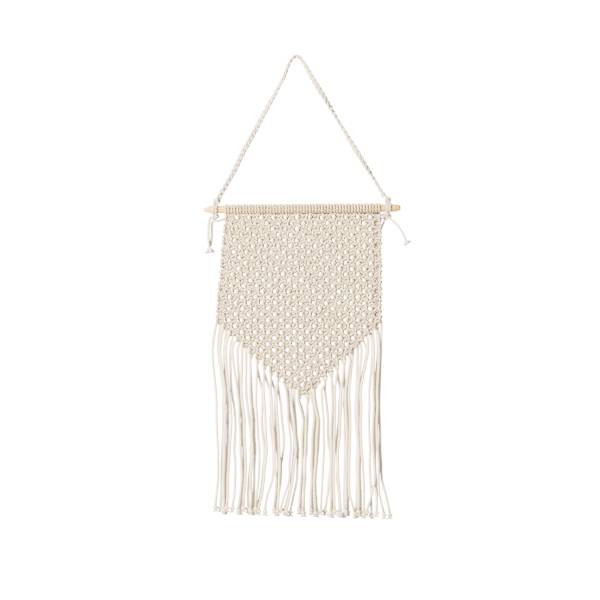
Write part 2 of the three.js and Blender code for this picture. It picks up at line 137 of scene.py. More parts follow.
class Lofts:
    # gathers closed tubes, each with a map of turns round it and metres along it

    def __init__(self, sides):
        self.sides = sides
        self.points = []
        self.faces = []
        self.places = []

    def add(self, route, facing=back, sides=None, domed=True):
        # a station is x, y, z, thin radius, wide radius
        self.loft(route, ringFrames(route, facing), 0.0, sides or self.sides, domed)

    def loft(self, route, frames, start, sides, domed):
        first = len(self.points)
        along = start
        distances = []
        for i, (centre, thin, wide, ahead) in enumerate(frames):
            if i:
                along += (centre - frames[i - 1][0]).length
            distances.append(along)
            for side in range(sides):
                angle = 2 * math.pi * side / sides
                self.points.append(
                    centre + thin * math.cos(angle) * route[i][3] + wide * math.sin(angle) * route[i][4]
                )
        rings = len(frames)
        for i in range(rings - 1):
            for side in range(sides):
                after = (side + 1) % sides
                ring = first + i * sides
                self.faces.append((ring + side, ring + after, ring + sides + after, ring + sides + side))
                self.places.append([
                    (side / sides, distances[i]), ((side + 1) / sides, distances[i]),
                    ((side + 1) / sides, distances[i + 1]), (side / sides, distances[i + 1]),
                ])
        for end, sign in ((0, -1), (rings - 1, 1)):
            centre, thin, wide, ahead = frames[end]
            proud = min(route[end][3], route[end][4]) * (0.5 if domed else 0.05)  # a round or a flat end
            tip = len(self.points)
            self.points.append(centre + ahead * sign * proud)
            ring = first + end * sides
            for side in range(sides):
                after = (side + 1) % sides
                corners = (ring + after, ring + side, tip) if sign < 0 else (ring + side, ring + after, tip)
                self.faces.append(corners)
                self.places.append([(side / sides, distances[end])] * 3)

    def piece(self, name, material):
        mesh = bpy.data.meshes.new(name)
        mesh.from_pydata(self.points, [], self.faces)
        layer = mesh.uv_layers.new(name="cordMap")
        flat = [number for face in self.places for place in face for number in place]
        layer.data.foreach_set("uv", flat)
        mesh.materials.append(material)
        mesh.update()
        made = bpy.data.objects.new(name, mesh)
        bpy.context.scene.collection.objects.link(made)
        mesh.polygons.foreach_set("use_smooth", [True] * len(mesh.polygons))
        return made


def settle(piece, slot, *nodes):
    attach(piece, "root")
    if nodes:
        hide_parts(*nodes)
    return piece


class Value:
    # a socket that Python's own operators work on

    def __init__(self, shader, socket):
        self.shader = shader
        self.socket = socket

    def maths(self, operation, first, second=0.0):
        return self.shader.node("Math", {"operation": operation}, {0: first, 1: second})

    def __add__(self, other):
        return self.maths("ADD", self, other)

    __radd__ = __add__

    def __sub__(self, other):
        return self.maths("SUBTRACT", self, other)

    def __rsub__(self, other):
        return self.maths("SUBTRACT", other, self)

    def __mul__(self, other):
        return self.maths("MULTIPLY", self, other)

    __rmul__ = __mul__

    def __pow__(self, other):
        return self.maths("POWER", self, other)

    def sine(self):
        return self.maths("SINE", self)


class Shader:
    def __init__(self, name):
        self.material = bpy.data.materials.new(name)
        self.material.use_nodes = True
        self.tree = self.material.node_tree
        self.tree.nodes.clear()

    def node(self, kind, settings=None, inputs=None, output=0):
        made = self.tree.nodes.new("ShaderNode" + kind)
        for name, value in (settings or {}).items():
            setattr(made, name, value)
        for name, value in (inputs or {}).items():
            if isinstance(value, Value):
                self.tree.links.new(value.socket, made.inputs[name])
            else:
                made.inputs[name].default_value = value
        return Value(self, made.outputs[output])

    def blend(self, share, first, second):
        # the colour sockets of a Mix node are its seventh and eighth, and its third output
        return self.node("Mix", {"data_type": "RGBA"}, {0: share, 6: first, 7: second}, output=2)

    def noise(self, vector, scale, detail=2.0, roughness=0.5):
        return self.node("TexNoise", None, {
            "Vector": vector, "Scale": scale, "Detail": detail, "Roughness": roughness,
        })

    def finish(self, inputs):
        surface = self.node("BsdfPrincipled", None, inputs)
        output = self.tree.nodes.new("ShaderNodeOutputMaterial")
        self.tree.links.new(surface.socket, output.inputs["Surface"])
        return self.material


# light and warm are the tones of the cotton; the groove tone is painted shade for the grooves between its
# plies and yarns;
# the pitches, heights and shades are those of the plies, of the yarns in a ply and of the fibres, and the
# ply and yarn shades set how dark that painted shade is
cotton = {
    "light": (0.99, 0.865, 0.62, 1), "warm": (0.97, 0.80, 0.51, 1), "groove": (0.15, 0.13, 0.102, 1),
    "plies": 3, "plyPitch": 0.0044, "plyHeight": 0.0009, "plyPaintedShade": 1.2,
    "yarns": 9, "yarnPitch": 0.0021, "yarnHeight": 0.0001, "yarnPaintedShade": 0.3,
    "fibreScale": 2600, "fibreHeight": 0.00008, "fibreShade": 0.5,
    "fleckScale": 600, "fleckShade": 1.4, "patchScale": 26, "patchLevel": 0.35, "patchShade": 1.3,
    "roundness": 0.8, "roughness": 0.9, "sheen": 0.15, "gloss": 0.2,
}
fringeCotton = dict(
    cotton, light=(0.69, 0.64, 0.5, 1), warm=(0.66, 0.595, 0.43, 1), groove=(0.42, 0.39, 0.31, 1),
    plyHeight=0.00025, plyPaintedShade=0.5, yarnPaintedShade=0.2, fleckShade=0.8,
)
braidCotton = dict(
    cotton, light=(0.74, 0.695, 0.605, 1), warm=(0.71, 0.65, 0.545, 1), groove=(0.36, 0.335, 0.295, 1),
    plyPaintedShade=0.95, fleckShade=1.2,
)
# the cotton round the dowel is a darker, yellower copy of the same cotton: painted warm light reflected onto
# it from the wood
headingCotton = dict(
    cotton, light=(0.88, 0.74, 0.50, 1), warm=(0.93, 0.69, 0.33, 1), plyPaintedShade=1.0, fleckShade=1.0,
)


def cottonMaterial(name, look):
    shader = Shader(name)
    cordMap = shader.node("UVMap", {"uv_map": "cordMap"})
    turns = shader.node("SeparateXYZ", None, {0: cordMap}, output="X")
    metres = shader.node("SeparateXYZ", None, {0: cordMap}, output="Y")

    def ridges(count, pitch):
        # 1 along the crown of each twisted part and 0 in the groove beside it
        phase = (turns * count + metres * (1 / pitch)) * (2 * math.pi)
        return (phase.sine() * 0.5 + 0.5) ** look["roundness"]

    ply = ridges(look["plies"], look["plyPitch"])
    yarn = ridges(look["yarns"], look["yarnPitch"])
    place = shader.node("TexCoord", None, None, output="Object")
    fibre = shader.noise(place, look["fibreScale"], 3.0, 0.7)
    fleck = shader.noise(place, look["fleckScale"], 1.0, 0.5)
    patch = shader.noise(place, look["patchScale"], 2.0, 0.5)
    tone = shader.blend((patch - look["patchLevel"]) * look["patchShade"], look["light"], look["warm"])
    # painted shade: the colour darkens towards the groove tone in the ply and yarn grooves, where shade
    # falls, and with the fibres and flecks at random
    depth = (
        (1 - ply) * look["plyPaintedShade"] + (1 - yarn) * look["yarnPaintedShade"]
        + (0.5 - fibre) * look["fibreShade"] + (0.5 - fleck) * look["fleckShade"]
    )
    colour = shader.blend(depth, tone, look["groove"])
    height = ply * look["plyHeight"] + yarn * look["yarnHeight"] + fibre * look["fibreHeight"]
    normal = shader.node("Bump", None, {"Strength": 1.0, "Distance": 1.0, "Height": height})
    return shader.finish({
        "Base Color": colour, "Roughness": look["roughness"], "Normal": normal,
        "Sheen Weight": look["sheen"], "Specular IOR Level": look["gloss"],
    })


wood = {
    "light": (0.64, 0.41, 0.078, 1), "dark": (0.38, 0.21, 0.028, 1), "streaks": 900, "stretch": 0.02,
    "streakLevel": 0.42, "streakShade": 3.6, "broadShade": 1.8, "grainHeight": 0.00008, "grainDepth": 0.7,
    "roughness": 0.5, "roughStreaks": 0.2,
}


def woodMaterial():
    shader = Shader("pale whittled wood")
    place = shader.node("TexCoord", None, None, output="Object")
    along = shader.node("Mapping", None, {"Vector": place, "Scale": (wood["stretch"], 1, 1)})
    streak = shader.noise(along, wood["streaks"], 4.0, 0.65)
    broad = shader.noise(along, wood["streaks"] / 8, 2.0, 0.5)
    share = (streak - wood["streakLevel"]) * wood["streakShade"] + (broad - 0.5) * wood["broadShade"]
    colour = shader.blend(share, wood["light"], wood["dark"])
    height = streak * wood["grainHeight"]
    normal = shader.node("Bump", None, {"Strength": wood["grainDepth"], "Distance": 1.0, "Height": height})
    roughness = wood["roughness"] + streak * wood["roughStreaks"]
    return shader.finish({"Base Color": colour, "Roughness": roughness, "Normal": normal})


knottedCotton = cottonMaterial("ivory cotton cord", cotton)
looseCotton = cottonMaterial("loose cotton cord", fringeCotton)
braidedCotton = cottonMaterial("braided cotton cord", braidCotton)
wrappedCotton = cottonMaterial("cotton cord round the dowel", headingCotton)
paleWood = woodMaterial()
print("materials made")


# the plain cord, the sides of its tube, how much the left tails are fluffed out, and the turn for
# each ring of a tail or a loop
cord = {"diameter": 0.0032, "sides": 8, "fluff": 1.2, "loopBend": 0.2}
# the hanging cord is a flat braid of three strands
braid = {
    "width": 0.0058, "length": 0.427, "thin": 0.00155, "wide": 0.0018, "across": 0.00205,
    "deep": 0.00105, "period": 0.0215, "step": 0.0014, "strands": 3, "fineness": 40,
}
braidRoute = [
    (-0.1022, 0, -0.1833), (-0.0822, 0, -0.1486), (-0.0702, 0, -0.124), (-0.0567, 0, -0.0993),
    (-0.0419, 0, -0.0718), (-0.0286, 0, -0.0475), (-0.0163, 0, -0.0243), (-0.0099, 0, -0.0078),
    (-0.0049, 0, 0), (0, 0, 0.0022), (0.0042, 0, 0.0004), (0.0116, 0, -0.0103),
    (0.0194, 0, -0.0246), (0.0337, 0, -0.0474), (0.052, 0, -0.0782), (0.0707, 0, -0.1093),
    (0.0898, 0, -0.1403), (0.1144, 0, -0.1803),
]
# metres along the cord, and the quarter turns by which the flat braid has rolled there
braidRoll = [
    (0, -0.3), (0.04, -0.05), (0.08, 0), (0.11, 0.1), (0.145, 0.4), (0.18, 1), (0.222, 1.1), (0.268, 2),
    (0.314, 3), (0.366, 4), (0.411, 5), (0.43, 5.5),
]


def makeBraid():
    shares = [step / braid["fineness"] for step in range(braid["fineness"])]
    fine = [onCurve(braidRoute, i, share) for i in range(len(braidRoute) - 1) for share in shares]
    fine.append(list(braidRoute[-1]))
    stations = [fine[0]]
    walked = 0
    for before, after in zip(fine, fine[1:]):
        walked += (Vector(after) - Vector(before)).length
        if walked >= braid["step"]:
            stations.append(after)
            walked = 0
    frames = ringFrames(stations, back)
    build = Lofts(cord["sides"])
    for strand in range(braid["strands"]):
        route = []
        edges = []
        distance = 0
        for i, (centre, thin, wide, along) in enumerate(frames):
            if i:
                distance += (centre - frames[i - 1][0]).length
            roll = tableValue(braidRoll, distance) * math.pi / 2
            flat = wide * math.cos(roll) + thin * math.sin(roll)
            edge = thin * math.cos(roll) - wide * math.sin(roll)
            phase = 2 * math.pi * (distance / braid["period"] + strand / braid["strands"])
            weave = flat * math.sin(phase) * braid["across"] + edge * math.sin(2 * phase) * braid["deep"]
            route.append((*(centre + weave), braid["thin"], braid["wide"]))
            edges.append(edge)
        build.add(route, facing=edges)
    piece = settle(build.piece("hanging_cord_braid", braidedCotton), "cotton_cord", "hanging_cord")
    return piece, stations


hangingCord, braidStations = makeBraid()
print("hanging cord braided,", round(routeLength(braidStations), 4), "m")


tailRoutes = {
    "tail_left_outer": [
        (-0.1105, -0.0014, -0.2074), (-0.1118, -0.0016, -0.2082), (-0.1138, -0.0016, -0.2125),
        (-0.1146, -0.0016, -0.2215), (-0.1149, -0.0014, -0.2325), (-0.1143, -0.0012, -0.2405),
        (-0.1134, -0.001, -0.247),
    ],
    "tail_left_inner": [
        (-0.1078, 0.0014, -0.2102), (-0.1094, 0.0016, -0.2135), (-0.1101, 0.0016, -0.221),
        (-0.1102, 0.0016, -0.231), (-0.1108, 0.0014, -0.239), (-0.112, 0.0014, -0.2445),
    ],
    "tail_left_return": [
        (-0.109, -0.001, -0.2098), (-0.1072, -0.002, -0.2118), (-0.103, -0.0018, -0.212),
        (-0.0985, -0.001, -0.2108), (-0.0935, 0, -0.2092),
    ],
    "tail_right_outer": [
        (0.1222, -0.001, -0.2098), (0.124, -0.001, -0.2109), (0.1282, -0.001, -0.2142),
        (0.1331, -0.001, -0.22), (0.137, -0.001, -0.2262), (0.1403, -0.001, -0.2327),
        (0.1425, -0.001, -0.2373),
    ],
    "tail_right_return": [
        (0.115, 0.0014, -0.2095), (0.1128, 0.003, -0.215), (0.1104, 0.0044, -0.221),
        (0.1082, 0.0054, -0.2272), (0.1062, 0.0058, -0.2315),
    ],
}


def makeTail(name, points):
    radius = cord["diameter"] / 2 * (cord["fluff"] if "left" in name else 1.0)
    route = smoothRoute([(*point, radius, radius) for point in points], cord["loopBend"])
    build = Lofts(cord["sides"])
    build.add(route)
    piece = settle(build.piece(name + "_cord", looseCotton), "cotton_cord", name)
    return piece, [station[:3] for station in route]


tailPieces = {name: makeTail(name, points) for name, points in tailRoutes.items()}


def addOverhand(build, centre, size, radius, sides, stations, turn=0.0):
    # a cord's course in an overhand knot, pulled into a ball of the size given
    room = [side / 2 - radius for side in size]
    route = []
    for i in range(stations + 1):
        angle = 2 * math.pi * i / stations + turn
        reach = 0.66 + 0.34 * math.cos(3 * angle)
        route.append((
            centre[0] + room[0] * reach * math.cos(2 * angle),
            centre[1] + room[1] * math.sin(3 * angle),
            centre[2] + room[2] * reach * math.sin(2 * angle),
            radius, radius,
        ))
    build.add(route, sides=sides)


def addTuft(build, root, way, values):
    # the end of a cord, come apart into its yarns
    radius = values["yarnRadius"]
    across = way.orthogonal().normalized()
    other = way.cross(across)
    for yarn in range(values["yarns"]):
        angle = 2 * math.pi * (yarn + draw.uniform(-0.3, 0.3)) / values["yarns"]
        out = across * math.cos(angle) + other * math.sin(angle)
        reach = values["tuft"] * draw.uniform(0.65, 1)
        lean = values["spread"] * draw.uniform(0.4, 1)
        start = root + out * radius * 1.1
        middle = start + way * reach * 0.5 + out * lean * 0.35
        end = start + way * reach + out * lean
        sizes = ((start, radius), (middle, radius * 0.85), (end, radius * 0.3))
        build.add([(*point, size, size) for point, size in sizes], sides=4, domed=False)


tailEnd = {
    "knotCord": 0.0018, "stations": 30, "tuft": 0.0044, "spread": 0.0018, "yarns": 10, "yarnRadius": 0.00065,
}
# where each end knot sits, its size, and the root and way of each tuft that leaves it
tailEnds = {
    "tail_knot_left": {"centre": (-0.1131, 0, -0.2502), "size": (0.0112, 0.0086, 0.008), "tufts": [
        ((-0.116, 0, -0.252), (-0.85, -0.1, -0.5)), ((-0.1104, 0, -0.2512), (0.9, 0.1, -0.3)),
    ]},
    "tail_knot_right": {"centre": (0.1432, 0, -0.2397), "size": (0.0078, 0.0068, 0.0072), "tufts": [
        ((0.1418, 0, -0.2412), (-0.6, 0, -0.75)), ((0.1452, 0, -0.2388), (0.95, 0, 0.3)),
    ]},
}


def makeTailKnot(name, end):
    build = Lofts(cord["sides"])
    addOverhand(build, end["centre"], end["size"], tailEnd["knotCord"], cord["sides"], tailEnd["stations"])
    for root, way in end["tufts"]:
        addTuft(build, Vector(root), Vector(way).normalized(), tailEnd)
    return settle(build.piece(name + "_cord", looseCotton), "cotton_cord", name)


tailKnotPieces = {name: makeTailKnot(name, end) for name, end in tailEnds.items()}
print("tails hung")


# the dowel is a plain stick, cut flat all round at both ends
dowel = {
    "x": 0.0074, "z": -0.1961, "tilt": 0.51, "radius": 0.0052, "length": 0.2564, "sides": 40, "cuts": 9,
    "softEdge": 0.0003, "softAbove": 12, "smoothBelow": 25,
}
# each end is whittled by rounds of cuts, given by their length and the radius they leave at the tip
dowelEnds = {
    "left": {"side": -1, "tapers": [(0.011, 0.0023)]},
    "right": {"side": 1, "tapers": [(0.009, 0.0036), (0.0042, 0.0022)]},
}


def makeDowel():
    bpy.ops.object.select_all(action="DESELECT")
    bpy.ops.mesh.primitive_cylinder_add(
        vertices=dowel["sides"], radius=dowel["radius"], depth=dowel["length"],
        rotation=(0, math.pi / 2, 0),
    )
    piece = bpy.context.object
    piece.name = "whittled_dowel"
    bpy.ops.object.transform_apply(location=False, rotation=True, scale=False)
    bpy.ops.object.mode_set(mode="EDIT")
    half = dowel["length"] / 2
    for end in dowelEnds.values():
        for length, tip in end["tapers"]:
            for cut in range(dowel["cuts"]):
                angle = 2 * math.pi * (cut + draw.uniform(-0.25, 0.25)) / dowel["cuts"]
                out = Vector((0, math.cos(angle), math.sin(angle)))
                drop = dowel["radius"] - tip * draw.uniform(0.8, 1.1)
                slope = Vector((end["side"] * drop, 0, 0)) + out * length
                through = out * dowel["radius"] + Vector((end["side"] * (half - length), 0, 0))
                bpy.ops.mesh.select_all(action="SELECT")
                bpy.ops.mesh.bisect(
                    plane_co=through, plane_no=slope.normalized(), use_fill=True, clear_outer=True,
                )
    bpy.ops.mesh.select_all(action="SELECT")
    bpy.ops.mesh.normals_make_consistent(inside=False)
    bpy.ops.object.mode_set(mode="OBJECT")
    soften = piece.modifiers.new("soft edges", "BEVEL")
    soften.width = dowel["softEdge"]
    soften.segments = 2
    soften.limit_method = "ANGLE"
    soften.angle_limit = math.radians(dowel["softAbove"])
    bpy.ops.object.modifier_apply(modifier="soft edges")
    bpy.ops.object.shade_smooth_by_angle(angle=math.radians(dowel["smoothBelow"]))
    piece.location = (dowel["x"], 0, dowel["z"])
    piece.rotation_euler = (0, math.radians(-dowel["tilt"]), 0)
    bpy.ops.object.transform_apply(location=True, rotation=True, scale=True)
    piece.data.materials.clear()
    piece.data.materials.append(paleWood)
    return settle(piece, "pale_wood", "dowel")


makeDowel()
print("dowel whittled")


def dowelHeight(x):
    return dowel["z"] + (x - dowel["x"]) * math.tan(math.radians(dowel["tilt"]))


# the row of lark's heads: its ends, their number and the reach and half sizes of their cord
heading = {
    "left": -0.094, "right": 0.1094, "heads": 26, "core": 0.0061, "thin": 0.00095, "wide": 0.0016,
    "barReach": 0.0086, "outerDrawn": 0.62, "innerDrawn": 0.86, "narrow": 0.0013,
}
# every second knot of a row is left to the next row; below the full rows the net narrows to its point
net = {
    "rows": 31, "fullRows": 19, "halfColumns": 24, "cords": 52, "sag": 0.0006, "sagRows": 2.2,
    "bend": 0.45, "longest": 0.016,
}
# row, height, and the places of its leftmost, middle and rightmost column
netSections = [
    (1, -0.2072, -0.0866, 0.0082, 0.1027), (7, -0.2519, -0.0909, 0.0070, 0.1032),
    (11, -0.2813, -0.0931, 0.0060, 0.1032), (15, -0.3108, -0.0966, 0.0048, 0.1031),
    (19, -0.3407, -0.0975, 0.0051, 0.1036), (25, -0.3874, -0.0987, 0.0051, 0.1084),
    (31, -0.4323, -0.0976, 0.0077, 0.1110),
]
# a square knot in cord diameters: how far across, how far forward and how high each cord runs
squareKnot = {
    "left": [
        (-1.8, 0.05, 0.86), (-1.25, 0.35, 0.62), (-0.5, 0.92, 0.53), (0.5, 0.92, 0.53), (1.2, 0.45, 0.56),
        (1.55, 0.1, 0), (1.2, 0.45, -0.56), (0.5, 0.92, -0.53), (-0.5, 0.92, -0.53), (-1.25, 0.35, -0.62),
        (-1.8, 0.05, -0.86),
    ],
    "leftFiller": [(-0.42, 0, 1.05), (-0.5, 0, 0), (-0.42, 0, -1.05)],
    "rightFiller": [(0.42, 0, 1.05), (0.5, 0, 0), (0.42, 0, -1.05)],
    "right": [
        (1.85, 0.45, 1.02), (1.5, 1.0, 0.7), (1.15, 0.7, 0.22), (0.85, -0.4, 0.2), (0.4, -0.95, 0.32),
        (-0.4, -0.95, 0.58), (-1.1, -0.4, 0.94), (-1.45, 0.6, 0.88), (-1.55, 1.1, 0.4), (-1.55, 1.1, -0.4),
        (-1.45, 0.6, -0.88), (-1.1, -0.4, -0.94), (-0.4, -0.95, -0.58), (0.4, -0.95, -0.32),
        (0.85, -0.4, -0.2), (1.15, 0.7, -0.22), (1.5, 1.0, -0.7), (1.85, 0.45, -1.02),
    ],
}
roles = ["left", "leftFiller", "rightFiller", "right"]
knotting = {
    "across": 1.08, "high": 1.3, "forward": 0.95, "thin": 0.002, "wide": 0.00224,
    "uneven": 0.00025, "lean": 0.05, "unlike": 0.04, "edgeOuter": 1.17, "edgeInner": 0.36,
}


def columnPlace(row, column):
    for before, after in zip(netSections, netSections[1:]):
        if row <= after[0] or after is netSections[-1]:
            share = (row - before[0]) / (after[0] - before[0])
            z, left, middle, right = [mix(a, b, share) for a, b in zip(before[1:], after[1:])]
            half = net["halfColumns"] / 2
            if column < half:
                return mix(left, middle, column / half), z
            return mix(middle, right, column / half - 1), z


def sagAt(row):
    # the net hangs from the back of the dowel and comes forward over its first rows
    return net["sag"] * math.exp(-(row - 1) / net["sagRows"])


def knotAt(row, number):
    # the column of the knot that takes this cord in this row, and the cord's role in it
    shift = 0 if row % 2 else 2
    group = (number - shift) // 4
    column = 2 * group + (0 if row % 2 else 1)
    trim = max(0, row - net["fullRows"])
    if number < shift or column < trim or column > net["halfColumns"] - trim:
        return None
    return column, roles[(number - shift) % 4]


def makeKnotPlaces():
    places = {}
    for row in range(1, net["rows"] + 1):
        for column in range(net["halfColumns"] + 1):
            if (row + column) % 2:
                x, z = columnPlace(row, column)
                x += draw.gauss(0, knotting["uneven"])
                z += draw.gauss(0, knotting["uneven"])
                places[row, column] = {
                    "centre": Vector((x, sagAt(row), z)),
                    "lean": draw.gauss(0, knotting["lean"]),
                    "size": 1 + draw.gauss(0, knotting["unlike"]),
                }
    return places


knotPlaces = makeKnotPlaces()


def inKnot(place, point):
    d = cord["diameter"] * place["size"]
    across = point[0] * d * knotting["across"]
    high = point[2] * d * knotting["high"]
    lean = place["lean"]
    return place["centre"] + Vector((
        across - high * lean, -point[1] * d * knotting["forward"], high + across * lean,
    ))


def headingRoute(number):
    # from the bar at the back, under the dowel, up its front, over its top and down behind the bar
    side = -1 if number % 2 == 0 else 1
    pitch = (heading["right"] - heading["left"]) / heading["heads"]
    middle = heading["left"] + pitch * (number // 2 + 0.5)
    height = dowelHeight(middle)
    bar, core, thin, wide = (heading[name] for name in ("barReach", "core", "thin", "wide"))
    # below the dowel the cords draw together towards the knot that takes them
    narrow = heading["narrow"]
    drawn = heading["outerDrawn" if number % 4 in (0, 3) else "innerDrawn"]
    # turn round the dowel in degrees from its back, reach from its axis, place across, half sizes
    course = [
        (-12, bar, 0, 0.0013, 0.0015), (-8, bar, 0.35, 0.0013, 0.0015),
        (6, bar - 0.0004, 0.95, 0.0013, 0.0015), (32, 0.0073, 1.12, 0.0012, 0.0017),
        (62, 0.0060, drawn, 0.0007, narrow), (90, 0.0057, drawn, 0.0006, narrow),
        (118, 0.0059, drawn, 0.0008, narrow), (140, core, 0.99, thin, wide),
        (180, core, 1.0, thin, wide), (220, core, 0.99, thin, wide), (260, core, 0.95, thin, wide),
        (300, core, 0.88, thin, wide), (335, core + 0.0002, 0.78, 0.0011, 0.0018),
    ]
    route = []
    for turn, reach, share, halfThin, halfWide in course:
        angle = math.radians(turn)
        x = middle + side * share * pitch / 4
        route.append((x, reach * math.cos(angle), height - reach * math.sin(angle), halfThin, halfWide))
    # then away from the dowel's back: depth, drop below its axis, half sizes
    for y, drop, halfThin, halfWide in ((0.0061, 0.0026, 0.0013, 0.0021), (0.0036, 0.0068, 0.0017, 0.0022)):
        route.append((middle + side * pitch / 4, y, height - drop, halfThin, halfWide))
    return route


def netRoute(number):
    radii = (knotting["thin"], knotting["wide"])
    route = []
    last = None
    for row in range(1, net["rows"] + 1):
        found = knotAt(row, number)
        if found is None:
            if row > net["fullRows"] or row % 2:
                break
            # an outer cord passes a row by, drawn in a little at the edge
            side, edge = (-1, 0) if number < 2 else (1, net["halfColumns"])
            middle = (knotPlaces[row - 1, edge]["centre"] + knotPlaces[row + 1, edge]["centre"]) / 2
            reach = knotting["edgeOuter" if number in (0, net["cords"] - 1) else "edgeInner"]
            middle.x += side * reach * cord["diameter"]
            route.append((*middle, *radii))
            continue
        column, role = found
        place = knotPlaces[row, column]
        # in the first row the fillers come straight from the dowel, without their upper point
        for point in squareKnot[role][1 if row == 1 and "Filler" in role else 0:]:
            route.append((*inKnot(place, point), *radii))
        last = (row, column)
    return route, last


# the loose ends hang in two layers, and each has a small knot and a tuft
fringe = {
    "radius": 0.00186, "layer": 0.0017, "leftEnd": -0.584, "rightEnd": -0.5908,
    "stagger": (0, -0.0012, -0.0032, -0.004), "drop": 0.0085, "bow": 0.0048, "wobble": 0.0009,
    "clear": 0.006, "shoulderGap": 0.005, "shoulderLayer": 0.8,
    "knotSize": (0.0078, 0.006, 0.0058), "knotCord": 0.0018, "knotInset": 0.4, "knotStations": 20,
    "knotSides": 6, "tuft": 0.0036, "spread": 0.0041, "yarns": 14, "yarnRadius": 0.0008,
}
fringeHeights = (-0.4316, -0.4706, -0.5096, -0.5486)
shoulderHeight = -0.3796
# where the strands of the upper edge knots hang at shoulder height
shoulders = {
    0: -0.1094, 1: -0.1024, 2: -0.0995, 3: -0.0942, 4: -0.0922, 5: -0.0864, 6: -0.0837, 7: -0.0768,
    8: -0.0748, 9: -0.0678,
    42: 0.0778, 43: 0.0824, 44: 0.0844, 45: 0.0915, 46: 0.0931, 47: 0.0991, 48: 0.1006, 49: 0.1058,
    50: 0.1075, 51: 0.1097,
}
# from left to right, where each strand hangs at the four heights and at its end knot
fringeStrands = [
    (-0.1050, -0.1040, -0.1020, -0.1020, -0.1055), (-0.0955, -0.0955, -0.0965, -0.0975, -0.0990),
    (-0.0930, -0.0925, -0.0935, -0.0950, -0.0945), (-0.0910, -0.0890, -0.0900, -0.0920, -0.0920),
    (-0.0880, -0.0845, -0.0870, -0.0890, -0.0905), (-0.0845, -0.0795, -0.0810, -0.0800, -0.0835),
    (-0.0770, -0.0745, -0.0730, -0.0715, -0.0760), (-0.0740, -0.0705, -0.0690, -0.0685, -0.0730),
    (-0.0715, -0.0675, -0.0665, -0.0665, -0.0690), (-0.0655, -0.0615, -0.0595, -0.0620, -0.0630),
    (-0.0605, -0.0580, -0.0570, -0.0595, -0.0600), (-0.0585, -0.0550, -0.0535, -0.0550, -0.0565),
    (-0.0525, -0.0510, -0.0485, -0.0495, -0.0530), (-0.0450, -0.0450, -0.0415, -0.0445, -0.0510),
    (-0.0430, -0.0405, -0.0385, -0.0425, -0.0495), (-0.0350, -0.0340, -0.0305, -0.0315, -0.0410),
    (-0.0335, -0.0315, -0.0285, -0.0265, -0.0295), (-0.0280, -0.0275, -0.0250, -0.0240, -0.0290),
    (-0.0260, -0.0245, -0.0225, -0.0225, -0.0250), (-0.0235, -0.0190, -0.0170, -0.0205, -0.0255),
    (-0.0135, -0.0110, -0.0075, -0.0095, -0.0205), (-0.0110, -0.0075, -0.0030, -0.0060, -0.0150),
    (-0.0082, -0.0036, -0.0007, -0.0050, -0.0130), (-0.0062, -0.0010, 0.0022, 0.0005, -0.0080),
    (-0.0010, 0.0085, 0.0070, 0.0055, 0.0030), (0.0025, 0.0100, 0.0085, 0.0070, 0.0050),
    (0.0135, 0.0125, 0.0115, 0.0100, 0.0080), (0.0150, 0.0145, 0.0130, 0.0110, 0.0095),
    (0.0185, 0.0225, 0.0200, 0.0195, 0.0185), (0.0200, 0.0250, 0.0225, 0.0210, 0.0210),
    (0.0220, 0.0280, 0.0260, 0.0230, 0.0245), (0.0235, 0.0295, 0.0280, 0.0245, 0.0270),
    (0.0325, 0.0350, 0.0355, 0.0335, 0.0315), (0.0370, 0.0410, 0.0430, 0.0420, 0.0370),
    (0.0460, 0.0455, 0.0455, 0.0445, 0.0440), (0.0475, 0.0475, 0.0475, 0.0470, 0.0465),
    (0.0495, 0.0500, 0.0490, 0.0485, 0.0495), (0.0570, 0.0550, 0.0525, 0.0530, 0.0560),
    (0.0580, 0.0565, 0.0540, 0.0545, 0.0575), (0.0625, 0.0630, 0.0630, 0.0625, 0.0625),
    (0.0640, 0.0650, 0.0650, 0.0645, 0.0640), (0.0667, 0.0676, 0.0672, 0.0665, 0.0670),
    (0.0684, 0.0698, 0.0690, 0.0684, 0.0755), (0.0780, 0.0770, 0.0790, 0.0790, 0.0780),
    (0.0800, 0.0795, 0.0810, 0.0805, 0.0805), (0.0820, 0.0815, 0.0825, 0.0825, 0.0835),
    (0.0835, 0.0835, 0.0845, 0.0870, 0.0875), (0.0945, 0.0940, 0.0955, 0.0960, 0.0975),
    (0.0995, 0.0995, 0.0995, 0.1015, 0.0915), (0.1020, 0.1025, 0.1020, 0.1030, 0.1040),
    (0.1050, 0.1045, 0.1055, 0.1065, 0.1135), (0.1080, 0.1080, 0.1090, 0.1110, 0.1215),
]
waveHeights = (-0.451, -0.49, -0.529, -0.568)
# waves of single strands between the four heights: strand, then height and shift
fringeWaves = {
    5: {-0.529: 0.0009, -0.568: 0.0009}, 15: {-0.568: -0.002}, 19: {-0.49: 0.0013, -0.529: -0.0013},
    20: {-0.49: 0.001, -0.529: -0.0009}, 21: {-0.49: 0.0021}, 33: {-0.49: -0.0012, -0.529: 0.002},
    42: {-0.568: -0.0026}, 50: {-0.568: -0.0018},
}
# the four strands of the lowest knot spread before they hang: strand, then height and place
fringeSpread = {
    24: (-0.4445, 0.0018), 25: (-0.4445, 0.003), 26: (-0.4445, 0.0142), 27: (-0.4445, 0.0156),
}


def strandEnd(number):
    share = number / (net["cords"] - 1)
    z = mix(fringe["leftEnd"], fringe["rightEnd"], share) + fringe["stagger"][number % 4]
    y = fringe["layer"] * (-1 if number % 2 == 0 else 1)
    return Vector((fringeStrands[number][-1], y, z))


